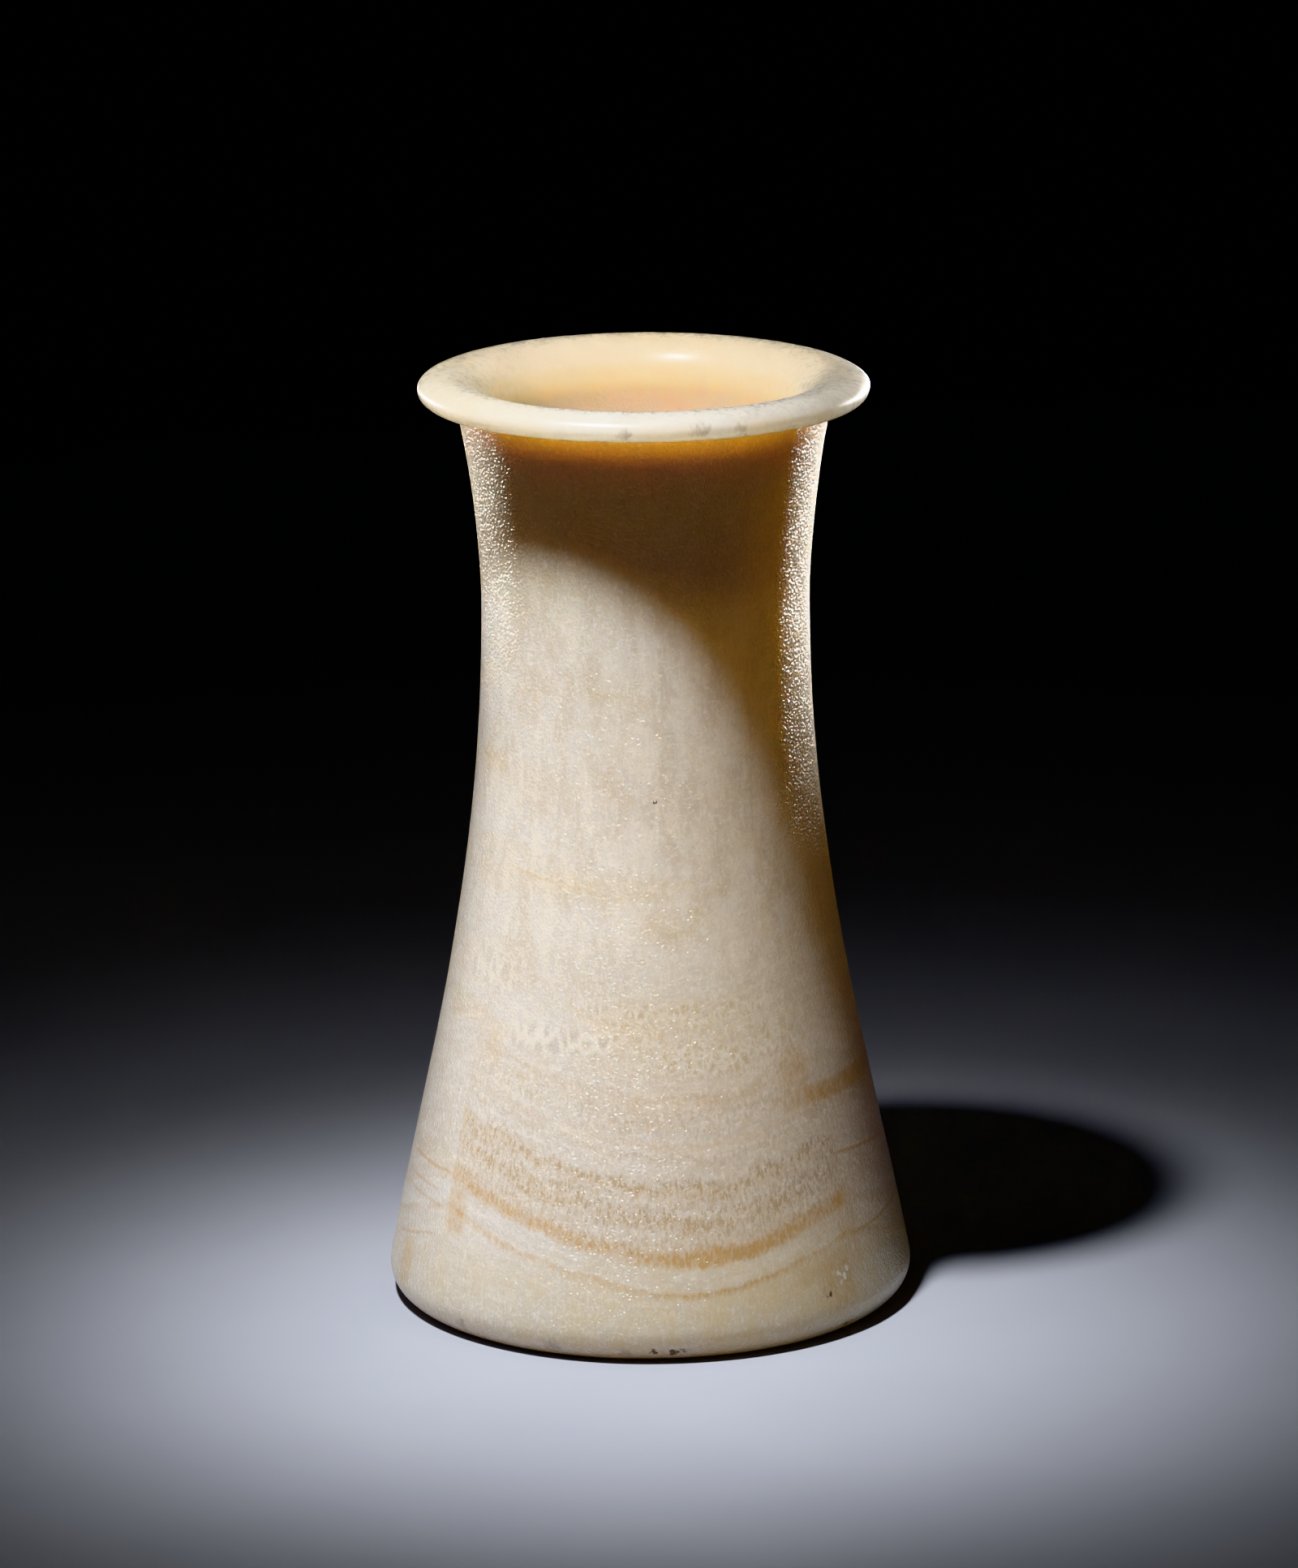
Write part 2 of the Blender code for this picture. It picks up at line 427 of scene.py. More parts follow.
class Nodes:
    """Short ways to add nodes to one material. A value that is a number is set on the socket, else linked."""

    def __init__(self, material):
        material.use_nodes = True
        self.tree = material.node_tree
        self.shader = self.tree.nodes["Principled BSDF"]

    def put(self, value, socket):
        if isinstance(value, bpy.types.NodeSocket):
            self.tree.links.new(value, socket)
        else:
            socket.default_value = value

    def node(self, kind, **settings):
        made = self.tree.nodes.new(kind)
        for key, value in settings.items():
            setattr(made, key, value)
        return made

    def math(self, operation, *values):
        made = self.node("ShaderNodeMath", operation=operation)
        for value, socket in zip(values, made.inputs):
            self.put(value, socket)
        return made.outputs[0]

    def attribute(self, name):
        return self.node("ShaderNodeAttribute", attribute_name=name).outputs["Fac"]

    def span(self, value, low, high, to_low=0.0, to_high=1.0):
        """A smooth step from to_low to to_high while the value goes from low to high."""
        made = self.node("ShaderNodeMapRange", interpolation_type="SMOOTHSTEP")
        for item, socket in zip((value, low, high, to_low, to_high), made.inputs):
            self.put(item, socket)
        return made.outputs[0]

    def scaled(self, vector, scale):
        made = self.node("ShaderNodeVectorMath", operation="MULTIPLY")
        self.put(vector, made.inputs[0])
        made.inputs[1].default_value = scale
        return made.outputs[0]

    def noise(self, vector, scale=1.0, detail=2.0, rough=0.5, warp=0.0):
        made = self.node("ShaderNodeTexNoise")
        self.put(vector, made.inputs["Vector"])
        made.inputs["Scale"].default_value = scale
        made.inputs["Detail"].default_value = detail
        made.inputs["Roughness"].default_value = rough
        made.inputs["Distortion"].default_value = warp
        return made.outputs["Fac"]

    def borders(self, vector, scale):
        """Distance from the nearest border between crystals: 0 there, about 0.3 in the middle of one."""
        made = self.node("ShaderNodeTexVoronoi", feature="DISTANCE_TO_EDGE")
        self.put(vector, made.inputs["Vector"])
        made.inputs["Scale"].default_value = scale
        return made.outputs["Distance"]

    def add(self, *values):
        total = values[0]
        for value in values[1:]:
            total = self.math("ADD", total, value)
        return total

    def times(self, *values):
        total = values[0]
        for value in values[1:]:
            total = self.math("MULTIPLY", total, value)
        return total

    def near(self, value, middle, core, edge):
        """1 while the value is within core of the middle, and 0 from edge on."""
        return self.span(self.math("ABSOLUTE", self.math("SUBTRACT", value, middle)), core, edge, 1.0, 0.0)

    def dot(self, vector, middle, core, edge, ragged):
        """A mark in space with a ragged edge: 1 within core of the middle, and 0 from edge on."""
        made = self.node("ShaderNodeVectorMath", operation="DISTANCE")
        self.put(vector, made.inputs[0])
        made.inputs[1].default_value = middle
        return self.span(self.add(made.outputs["Value"], ragged), core, edge, 1.0, 0.0)

    def mix(self, amount, below, above):
        """One colour over another, as strongly as the amount says. Inputs 6 and 7 take the colours."""
        made = self.node("ShaderNodeMix", data_type="RGBA")
        made.clamp_factor = True
        for item, socket in zip((amount, below, above), (made.inputs[0], made.inputs[6], made.inputs[7])):
            self.put(item, socket)
        return made.outputs[2]

    def ramp(self, value, stops):
        """A grey level by position. Stops are (position, level)."""
        made = self.node("ShaderNodeValToRGB")
        self.put(value, made.inputs[0])
        elements = made.color_ramp.elements
        while len(elements) > 1:
            elements.remove(elements[0])
        elements[0].position = stops[0][0]
        elements[0].color = (stops[0][1],) * 3 + (1.0,)
        for position, level in stops[1:]:
            element = elements.new(position)
            element.color = (level,) * 3 + (1.0,)
        return made.outputs[0]


CREAM = (0.730, 0.675, 0.595, 1.0)
WHITE = (0.790, 0.745, 0.690, 1.0)
MILK = (0.880, 0.832, 0.755, 1.0)
HONEY = (0.705, 0.595, 0.430, 1.0)
OCHRE = (0.590, 0.370, 0.155, 1.0)
GREY = (0.640, 0.580, 0.520, 1.0)
PEACH = (0.670, 0.655, 0.520, 1.0)
BROWN = (0.460, 0.362, 0.242, 1.0)
BEIGE = (0.620, 0.540, 0.440, 1.0)
IVORY = (0.668, 0.632, 0.572, 1.0)
SMOKE = (0.500, 0.455, 0.400, 1.0)
AMBER = (0.610, 0.480, 0.300, 1.0)
# Painted shade for the rim's crest: darker than the ivory, to hold down the key and the right edge lights
# where they fall hardest
PAINTED_CREST_SHADE = (0.505, 0.468, 0.408, 1.0)
PAINTED_CREST_SHADE_LEFT = (0.590, 0.525, 0.405, 1.0)
PAINTED_CREST_SHADE_RIGHT = (0.610, 0.565, 0.485, 1.0)
COOL = (0.692, 0.695, 0.695, 1.0)
NECK_SHADE_TINT = (0.700, 0.600, 0.370, 1.0)
GOLD_AND_PAINTED_GLOW = (0.840, 0.735, 0.560, 1.0)
DEEP_GOLD = (0.720, 0.575, 0.350, 1.0)
STAIN = (0.330, 0.270, 0.200, 1.0)
DARK = (0.120, 0.085, 0.055, 1.0)
FLOOR_DARK = (0.306, 0.328, 0.394, 1.0)
FLOOR_PALE = (0.325, 0.348, 0.414, 1.0)

LAYER_SPAN = 250.0  # mm of layers or of height that the tables below cover
# Layer in mm, and how ochre it is there
OCHRE_BANDS = (
    (0.0, 0.16),
    (17.5, 0.12),
    (17.85, 1.00),
    (18.35, 1.00),
    (18.75, 0.14),
    (20.5, 0.06),
    (24.6, 0.09),
    (25.7, 0.60),
    (27.0, 0.80),
    (28.8, 0.60),
    (29.8, 0.24),
    (33.0, 0.10),
    (35.6, 0.24),
    (38.0, 0.16),
    (40.0, 0.05),
    (44.5, 0.26),
    (46.5, 0.05),
    (51.5, 0.03),
    (53.0, 0.11),
    (54.5, 0.03),
    (56.0, 0.24),
    (57.2, 0.06),
    (59.5, 0.02),
    (61.0, 0.10),
    (62.5, 0.02),
    (67.6, 0.20),
    (69.4, 0.05),
    (74.0, 0.09),
    (76.0, 0.0),
)
# How brown the crystals are, by layer
BROWN_BANDS = (
    (0.0, 0.0),
    (26.5, 0.0),
    (28.0, 0.60),
    (29.2, 0.80),
    (30.0, 0.40),
    (32.0, 0.25),
    (34.0, 0.65),
    (37.0, 0.95),
    (39.5, 0.80),
    (41.5, 0.30),
    (43.5, 0.55),
    (44.8, 1.00),
    (46.2, 0.80),
    (47.2, 0.25),
    (49.5, 0.08),
    (52.0, 0.15),
    (53.5, 0.40),
    (55.0, 0.12),
    (58.5, 0.08),
    (61.0, 0.40),
    (63.0, 0.30),
    (65.0, 0.08),
    (68.5, 0.25),
    (70.5, 0.08),
    (95.0, 0.05),
    (250.0, 0.03),
)
# Height in mm, and how pale, honey or bare a level is up the body
BODY_BANDS = (
    (60.0, 0.35),
    (76.0, 0.30),
    (86.0, 0.60),
    (100.0, 0.45),
    (117.0, 0.40),
    (119.0, 0.75),
    (125.0, 0.72),
    (127.0, 0.35),
    (140.0, 0.35),
    (144.5, 0.62),
    (148.0, 0.60),
    (150.0, 0.40),
    (165.0, 0.30),
    (171.0, 0.55),
    (175.0, 0.35),
    (190.0, 0.45),
    (203.0, 0.20),
    (207.0, 0.20),
    (212.0, 0.60),
    (230.0, 0.50),
)
# Thin upright marks: angle, and the lowest and highest point in mm. Seams are honey and stand at the kinks
# and on the sides, and veins are pale
SEAMS = (
    (LEFT_KINK, 8.0, 62.0),
    (RIGHT_KINK, 8.0, 50.0),
    (-70.0, 60.0, 100.0),
    (-98.0, 6.0, 70.0),
    (104.0, 20.0, 120.0),
)
VEINS = (
    (-39.5, 111.0, 174.0),
    (3.4, 133.0, 188.0),
    (35.0, 91.0, 166.0),
    (128.0, 70.0, 150.0),
)
# Fine lines along the layers: lowest and highest angle, height at the middle angle, rise in mm a degree,
# strength
LINES = (
    (-80.0, -56.0, 42.0, 0.02, 0.55),
    (-78.0, -60.0, 36.5, 0.03, 0.35),
    (-80.0, -57.0, 33.0, -0.02, 0.30),
    (-80.0, -58.0, 22.5, 0.28, 0.35),
    (51.0, 80.0, 46.5, -0.10, 0.60),
    (53.0, 84.0, 27.0, 0.06, 0.55),
    (-46.0, -8.0, 122.5, -0.12, 0.16),
    (-12.0, 30.0, 108.5, 0.0, 0.08),
)
# Small marks on the outside: angle, height, core and edge radius in mm, and which tint
MARKS = (
    (2.5, 145.3, 0.10, 0.42, "dark"),
    (42.8, 12.3, 0.5, 1.1, "dark"),
    (0.6, 3.0, 0.5, 1.3, "dark"),
    (4.6, 3.2, 0.6, 1.5, "dark"),
    (6.6, 3.4, 0.4, 1.0, "dark"),
    (50.0, 2.2, 0.5, 1.4, "dark"),
    (-22.0, 4.0, 0.6, 3.4, "stain"),
    (-46.0, 4.5, 0.5, 3.0, "stain"),
    (-6.0, 3.2, 0.4, 2.6, "stain"),
    (46.6, 17.3, 0.2, 1.0, "white"),
    (48.2, 16.5, 0.3, 1.1, "white"),
    (47.2, 15.2, 0.2, 0.9, "white"),
    (49.0, 18.0, 0.1, 0.8, "white"),
    (44.0, 9.0, 0.3, 1.2, "stain"),
    (-4.8, 245.6, 0.3, 2.4, "stain"),
    (-3.2, 245.8, 0.3, 1.4, "stain"),
    (13.3, 246.2, 0.4, 2.8, "stain"),
    (15.5, 246.6, 0.3, 1.8, "stain"),
    (25.0, 245.9, 0.3, 2.2, "stain"),
    (27.0, 243.6, 0.2, 1.6, "stain"),
    (152.0, 5.0, 0.6, 3.0, "stain"),
    (-118.0, 30.0, 0.4, 1.4, "dark"),
    (-164.0, 245.8, 0.4, 2.4, "stain"),
)


def on_outside(angle, height):
    """The point of the outside at an angle in degrees and a height in mm, in mm."""
    down = outer_profile()
    radius = np.interp(height * MM, [z for r, z in reversed(down)], [r for r, z in reversed(down)])
    turn = math.radians(angle)
    return (radius / MM * math.sin(turn), -radius / MM * math.cos(turn), height)


def layered(n, value, bands):
    """A grey level that follows a table of layers."""
    stops = [(level / LAYER_SPAN, amount) for level, amount in bands]
    return n.ramp(n.math("DIVIDE", value, LAYER_SPAN), stops)


# Sizes of the pattern, in mm
CLOUD_SIZE = 34.0
MOTTLE_SIZE = 9.0
PLAID_SIZE = 7.0
FLECK_SIZE = 1.7
GRAIN_SIZE = 1.3
FIBRE_SIZE = 0.95
NEEDLE_SIZE = 0.62
CELL_SIZE = 2.4
LOBE_SIZE = 3.5
VEIL_SIZE = 8.0
STREAK_SIZE = 2.6
PEEL_SIZE = 0.75
DIMPLE_SIZE = 3.5
LAMINA_ROUND = 17.0
LAMINA_THICK = 2.3


def patterns(n):
    """The places, masks and noises that the steps of the stone share."""
    p = SimpleNamespace()
    place = n.node("ShaderNodeTexCoord").outputs["Object"]
    p.mm = mm = n.scaled(place, (1 / MM, 1 / MM, 1 / MM))
    p.axes = n.node("ShaderNodeSeparateXYZ")
    n.put(mm, p.axes.inputs[0])
    p.height = p.axes.outputs["Z"]
    turn = n.math("ARCTAN2", p.axes.outputs["X"], n.math("MULTIPLY", p.axes.outputs["Y"], -1.0))
    p.angle = angle = n.math("DEGREES", turn)
    p.inside = n.attribute("inside")
    p.outside = n.math("SUBTRACT", 1.0, p.inside)
    p.rim = n.attribute("rim")
    p.body = n.times(p.outside, n.math("SUBTRACT", 1.0, p.rim))

    # Broad clouds, then flecks, sugary grain, upright fibres and needles, and crystals of two sizes
    p.cloud = n.noise(mm, 1 / CLOUD_SIZE, 3.0, 0.55)
    p.mottle = n.noise(mm, 1 / MOTTLE_SIZE, 3.0, 0.6)
    p.fleck = n.noise(n.scaled(mm, (1.0, 1.0, 0.50)), 1 / FLECK_SIZE, 3.0, 0.62)
    p.grain = n.noise(mm, 1 / GRAIN_SIZE, 2.0, 0.6, warp=1.2)
    p.fibre = n.noise(n.scaled(mm, (1.0, 1.0, 0.36)), 1 / FIBRE_SIZE, 2.0, 0.6)
    p.needle = n.noise(n.scaled(mm, (1.0, 1.0, 0.20)), 1 / NEEDLE_SIZE, 2.0, 0.6)
    p.cell = n.borders(n.scaled(mm, (1.0, 1.0, 0.66)), 1 / CELL_SIZE)
    p.lobe = n.borders(n.scaled(mm, (1.0, 1.0, 0.52)), 1 / LOBE_SIZE)

    # Where a point lies in the growth layers, and how clearly they show at its angle
    p.growth = n.attribute("growth")
    p.layer = n.add(
        p.growth,
        n.span(p.mottle, 0.2, 0.8, -0.8, 0.8),
        n.span(p.fleck, 0.25, 0.75, -0.3, 0.3),
    )
    p.level = n.add(p.growth, n.span(p.mottle, 0.2, 0.8, -3.0, 3.0))
    between = n.times(
        n.span(angle, LEFT_KINK - 2.0, LEFT_KINK + 1.0),
        n.span(angle, RIGHT_KINK + 3.0, RIGHT_KINK - 1.0),
    )
    behind = n.span(n.math("ABSOLUTE", angle), 95.0, 125.0)
    p.banded = n.math("MAXIMUM", n.span(between, 0.0, 1.0, 0.22, 1.0), behind)

    # Thin layers, drawn out round the jar
    drawn_out = n.node("ShaderNodeCombineXYZ")
    for axis in ("X", "Y"):
        n.put(n.math("DIVIDE", p.axes.outputs[axis], LAMINA_ROUND), drawn_out.inputs[axis])
    n.put(n.math("DIVIDE", p.layer, LAMINA_THICK), drawn_out.inputs["Z"])
    p.lamina = n.noise(drawn_out.outputs[0], 1.0, 3.0, 0.62)
    return p


def ground_tone(n, p):
    """The stone's ground: cooler on the left, more golden on the right, partly as painted amber glow of the
    shaded side, and low down, with soft patches.
    """
    body, angle, height = p.body, p.angle, p.height
    colour = n.mix(n.span(p.cloud, 0.36, 0.62), CREAM, WHITE)
    cool = n.times(n.span(angle, 12.0, -35.0, 0.0, 0.80), n.span(angle, -130.0, -95.0))
    colour = n.mix(n.times(cool, body), colour, COOL)
    # Golden towards the right: partly the stone's tone, partly painted amber glow where the right side lies in
    # shade
    golden = n.times(n.span(angle, 0.0, 45.0, 0.0, 0.65), n.span(angle, 130.0, 95.0))
    colour = n.mix(n.times(golden, body), colour, GOLD_AND_PAINTED_GLOW)
    tone = layered(n, p.level, BODY_BANDS)
    honey = n.add(
        n.attribute("honey"),
        n.times(n.span(tone, 0.25, 0.8), 0.26),
        n.span(p.mottle, 0.45, 0.75, 0.0, 0.18),
    )
    honey = n.times(honey, body, n.span(p.fleck, 0.38, 0.62, 1.15, 0.60))
    colour = n.mix(honey, colour, HONEY)
    low_gold = n.times(
        n.span(angle, -25.0, 50.0),
        n.span(angle, 130.0, 95.0),
        n.span(height, 58.0, 22.0),
        0.75,
    )
    low_gold = n.times(low_gold, body, n.span(p.mottle, 0.3, 0.65, 1.2, 0.5))
    colour = n.mix(low_gold, colour, DEEP_GOLD)
    colour = n.mix(n.times(body, n.span(height, 84.0, 62.0, 0.0, 0.20)), colour, BEIGE)
    low = n.times(body, n.span(height, 30.0, 8.0, 0.0, 0.50), n.span(p.mottle, 0.3, 0.6, 1.2, 0.6))
    colour = n.mix(low, colour, AMBER)
    colour = n.mix(n.times(n.attribute("grey"), n.span(p.fleck, 0.40, 0.60, 1.0, 0.3)), colour, GREY)
    return n.mix(n.times(n.attribute("pale"), n.span(p.mottle, 0.3, 0.6, 0.4, 1.0)), colour, WHITE)


def thin_layers(n, p, colour):
    """Thin pale and beige layers, then soft upright patches up the body and a yellower neck, a painted tint
    for the amber shade under the rim.
    """
    body, height = p.body, p.height
    shown = n.times(body, n.span(height, 120.0, 55.0, 0.35, 1.0))
    colour = n.mix(n.times(shown, n.span(p.lamina, 0.52, 0.40, 0.0, 0.30)), colour, BEIGE)
    above_foot = n.span(height, 12.0, 40.0, 0.35, 1.0)
    colour = n.mix(n.times(shown, above_foot, n.span(p.lamina, 0.52, 0.66, 0.0, 0.38)), colour, MILK)
    plaid = n.noise(n.scaled(p.mm, (1.0, 1.0, 0.42)), 1 / PLAID_SIZE, 2.0, 0.55, warp=0.6)
    upper = n.times(body, n.span(height, 88.0, 108.0))
    colour = n.mix(n.times(upper, n.span(plaid, 0.50, 0.38, 0.0, 0.42)), colour, BEIGE)
    colour = n.mix(n.times(upper, n.span(plaid, 0.52, 0.66, 0.0, 0.40)), colour, MILK)
    # Painted shade colour: the neck below the rim is tinted yellower so its shadow reads amber rather than red
    return n.mix(n.times(body, n.span(height, 186.0, 206.0, 0.0, 0.55)), colour, NECK_SHADE_TINT)


def crystals(n, p, colour):
    """Brown fibres by layers, and crystals that are honey or grey inside and milky where they meet."""
    body = p.body
    brown = n.times(layered(n, p.level, BROWN_BANDS), body, p.banded)
    colour = n.mix(n.times(brown, n.span(p.cloud, 0.35, 0.60, 0.35, 0.75)), colour, BEIGE)
    colour = n.mix(n.times(brown, n.span(p.fibre, 0.54, 0.40, 0.0, 0.90)), colour, BROWN)
    cells, lobes = n.attribute("cell"), n.attribute("lobes")
    inner = n.times(cells, n.span(p.cell, 0.06, 0.30), n.span(p.grain, 0.36, 0.62, 0.95, 0.25))
    colour = n.mix(inner, colour, AMBER)
    colour = n.mix(n.times(cells, n.span(p.cell, 0.14, 0.02, 0.0, 0.28)), colour, MILK)
    colour = n.mix(n.times(lobes, n.span(p.lobe, 0.10, 0.30, 0.0, 0.65)), colour, SMOKE)
    colour = n.mix(n.times(lobes, n.span(p.lobe, 0.18, 0.02, 0.0, 0.75)), colour, MILK)
    colour = n.mix(n.times(body, n.span(p.grain, 0.46, 0.34, 0.0, 0.30)), colour, BEIGE)
    colour = n.mix(n.times(body, n.span(p.grain, 0.53, 0.68, 0.0, 0.60)), colour, MILK)
    return n.mix(n.times(body, n.span(p.needle, 0.55, 0.70, 0.0, 0.45)), colour, MILK)


def ochre_layers(n, p, colour):
    """A golden foot, and the ochre layers: strong between the kinks, darkest right of the middle."""
    foot_gold = n.times(
        p.body,
        n.span(p.height, 34.0, 16.0),
        n.span(p.angle, -60.0, 40.0, 0.18, 0.55),
        n.span(p.mottle, 0.35, 0.65, 1.2, 0.3),
    )
    colour = n.mix(foot_gold, colour, DEEP_GOLD)
    thin_line = n.span(p.layer, 21.0, 19.0, 0.0, 0.75)
    ochre = n.times(layered(n, p.layer, OCHRE_BANDS), p.body, n.math("MAXIMUM", p.banded, thin_line))
    ochre = n.times(ochre, n.span(p.cloud, 0.35, 0.62, 0.85, 1.10), n.span(p.fibre, 0.38, 0.62, 1.30, 0.70))
    darkest = n.times(n.near(p.angle, 18.0, 6.0, 24.0), 0.45)
    ochre = n.times(ochre, n.add(darkest, n.span(p.angle, -50.0, 0.0, 0.70, 0.85)))
    ochre = n.add(ochre, n.times(n.attribute("ochre"), n.span(p.fleck, 0.35, 0.62, 1.2, 0.6)))
    return n.mix(n.math("MINIMUM", ochre, 0.90), colour, OCHRE)


def lines_and_veins(n, p, colour):
    """Fine ochre lines along the layers, and pale veins and honey seams upright, all slightly crooked."""
    angle, height = p.angle, p.height
    for low, high, level_there, rising, strength in LINES:
        middle = (low + high) / 2
        straight = n.math("SUBTRACT", p.layer, p.growth)
        off = n.add(height, n.times(straight, -0.25), n.times(n.math("SUBTRACT", angle, middle), -rising))
        ends = n.times(n.span(angle, low - 2, low + 3), n.span(angle, high + 2, high - 3))
        colour = n.mix(n.times(n.near(off, level_there, 0.15, 0.75), ends, strength), colour, OCHRE)
    crook = n.add(angle, n.span(p.mottle, 0.0, 1.0, -1.6, 1.6))
    broken = n.span(p.fleck, 0.40, 0.62, 0.05, 0.50)
    for middle, low, high in VEINS:
        ends = n.times(n.span(height, low - 4, low + 4), n.span(height, high + 4, high - 4))
        colour = n.mix(n.times(n.near(crook, middle, 0.2, 1.7), ends, p.outside, broken), colour, MILK)
    for middle, low, high in SEAMS:
        ends = n.times(n.span(height, low - 4, low + 4), n.span(height, high + 6, high - 6))
        colour = n.mix(n.times(n.near(crook, middle, 0.3, 1.6), ends, p.outside, 0.30), colour, HONEY)
    return colour


def rim_and_bore(n, p, colour):
    """An ivory rim with grey clouds, painted shade along its crest, and a warm bore in upright streaks."""
    angle = p.angle
    veil = n.noise(n.scaled(p.mm, (1.0, 1.0, 1.6)), 1 / VEIL_SIZE, 4.0, 0.62)
    ivory = n.mix(n.span(veil, 0.48, 0.66, 0.0, 0.60), IVORY, GREY)
    ivory = n.mix(n.span(p.cloud, 0.50, 0.68, 0.0, 0.45), ivory, HONEY)
    to_left = n.near(angle, -80.0, 25.0, 65.0)
    ivory = n.mix(n.times(to_left, n.span(p.mottle, 0.35, 0.6, 0.15, 0.60)), ivory, HONEY)
    # Painted shade on the crest: darker colours where the key, and on the right the edge lights, fall strongly
    # on the upturned stone
    crest = n.mix(to_left, PAINTED_CREST_SHADE, PAINTED_CREST_SHADE_LEFT)
    right_crest_shade = n.times(n.near(angle, 78.0, 20.0, 62.0), n.span(veil, 0.35, 0.60, 0.2, 0.7))
    crest = n.mix(right_crest_shade, crest, PAINTED_CREST_SHADE_RIGHT)
    crest = n.mix(n.span(veil, 0.40, 0.65, 0.0, 0.35), crest, IVORY)
    squares = [n.math("POWER", p.axes.outputs[axis], 2.0) for axis in ("X", "Y")]
    radius = n.math("SQRT", n.add(*squares))
    mouth = n.span(radius, CREST_RADIUS / MM, CREST_RADIUS / MM - 3.0)
    crest_shade_mask = n.math("MAXIMUM", n.span(p.height, 246.4, 249.0), mouth)
    colour = n.mix(p.rim, colour, n.mix(crest_shade_mask, ivory, crest))
    drawn = n.noise(n.scaled(p.mm, (1.0, 1.0, 0.06)), 1 / STREAK_SIZE, 3.0, 0.6)
    wall = n.mix(n.span(drawn, 0.35, 0.70, 0.0, 0.75), IVORY, PEACH)
    wall = n.mix(n.span(p.cloud, 0.40, 0.65, 0.0, 0.25), wall, HONEY)
    return n.mix(p.inside, colour, wall)


def marked(n, p, colour):
    """Stains, specks and the white cluster, with ragged edges."""
    tints = {"dark": (DARK, 0.90), "stain": (STAIN, 0.45), "white": (MILK, 0.85)}
    ragged = n.span(p.fleck, 0.30, 0.70, -0.9, 0.9)
    for mark_angle, mark_height, core, edge, tint in MARKS:
        shade, strength = tints[tint]
        spot_here = n.dot(p.mm, on_outside(mark_angle, mark_height), core, edge, ragged)
        colour = n.mix(n.times(spot_here, strength), colour, shade)
    return colour


def grey(level):
    return (level, level, level, 1.0)


# How far light scatters in the stone, in metres. It is less where the wall is thin
SCATTER_BODY = grey(0.034)
SCATTER_NECK = grey(0.019)
SCATTER_RIM = grey(0.030)
SCATTER_UNDER_RIM = grey(0.036)
SCATTER_BORE = grey(0.012)
# How far red, green and blue light get, as shares of that
SPREAD_BODY = (1.0, 0.60, 0.25, 1.0)
SPREAD_RIM = (1.0, 0.84, 0.60, 1.0)
SPREAD_UNDER_RIM = (1.0, 0.50, 0.12, 1.0)


def scattering(n, p):
    """Light under the surface. It goes deepest where the neck meets the rim, and least far in the bore."""
    shader = n.shader
    shader.subsurface_method = "BURLEY"
    shader.inputs["Subsurface Weight"].default_value = 0.85
    to_side = n.span(n.math("ABSOLUTE", p.angle), 25.0, 60.0, 1.0, 0.35)
    deep = n.times(n.span(p.height, 233.0, 242.0), p.outside, n.span(p.height, 244.2, 243.0), to_side)
    reach = n.mix(n.span(p.height, 182.0, 212.0), SCATTER_BODY, SCATTER_NECK)
    reach = n.mix(p.rim, reach, SCATTER_RIM)
    reach = n.mix(deep, reach, SCATTER_UNDER_RIM)
    n.put(n.mix(p.inside, reach, SCATTER_BORE), shader.inputs["Subsurface Scale"])
    spread = n.mix(p.rim, SPREAD_BODY, SPREAD_RIM)
    n.put(n.mix(deep, spread, SPREAD_UNDER_RIM), shader.inputs["Subsurface Radius"])


# Heights in mm of the orange peel and the dimples, for the stone and for the polish over it
UNEVEN = (("Normal", 0.19, 0.12), ("Coat Normal", 0.68, 0.15))


def polish(n, p):
    """Satin stone under a polish. Orange peel and slow dimples lie in both, and more in the polish."""
    shader = n.shader
    rough = n.span(p.fleck, 0.35, 0.65, 0.34, 0.46)
    n.put(n.math("SUBTRACT", rough, n.times(p.rim, 0.10)), shader.inputs["Roughness"])
    shader.inputs["IOR"].default_value = 1.30
    peel = n.noise(p.mm, 1 / PEEL_SIZE, 1.0, 0.5)
    dimple = n.noise(p.mm, 1 / DIMPLE_SIZE, 1.0, 0.5)
    off_rim = n.span(p.rim, 0.0, 1.0, 1.0, 0.02)
    for socket, peel_height, dimple_height in UNEVEN:
        bump = n.node("ShaderNodeBump")
        bump.inputs["Strength"].default_value = 1.0
        bump.inputs["Distance"].default_value = MM
        uneven = n.add(n.times(peel, peel_height), n.times(dimple, dimple_height))
        n.put(n.times(uneven, off_rim), bump.inputs["Height"])
        n.put(bump.outputs[0], shader.inputs[socket])
    shader.inputs["Coat Weight"].default_value = 1.0
    shader.inputs["Coat Roughness"].default_value = 0.24
    shader.inputs["Coat IOR"].default_value = 1.50


def calcite():
    """Polished banded calcite: milky cream with honey and ochre growth layers, translucent."""
    material = bpy.data.materials.new("banded_calcite")
    n = Nodes(material)
    p = patterns(n)
    colour = ground_tone(n, p)
    for step in (thin_layers, crystals, ochre_layers, lines_and_veins, rim_and_bore, marked):
        colour = step(n, p, colour)
    n.put(colour, n.shader.inputs["Base Color"])
    scattering(n, p)
    polish(n, p)
    return material


def floor_finish():
    """Pale blue-grey board, a little mottled."""
    material = bpy.data.materials.new("pale_floor")
    n = Nodes(material)
    place = n.node("ShaderNodeTexCoord").outputs["Object"]
    cloud = n.noise(place, 9.0, 3.0, 0.5)
    n.put(n.mix(n.span(cloud, 0.3, 0.7), FLOOR_DARK, FLOOR_PALE), n.shader.inputs["Base Color"])
    n.shader.inputs["Roughness"].default_value = 0.75
    n.shader.inputs["Specular IOR Level"].default_value = 0.25
    return material


FLOOR_REACH = 6.0  # metres from the middle to each side


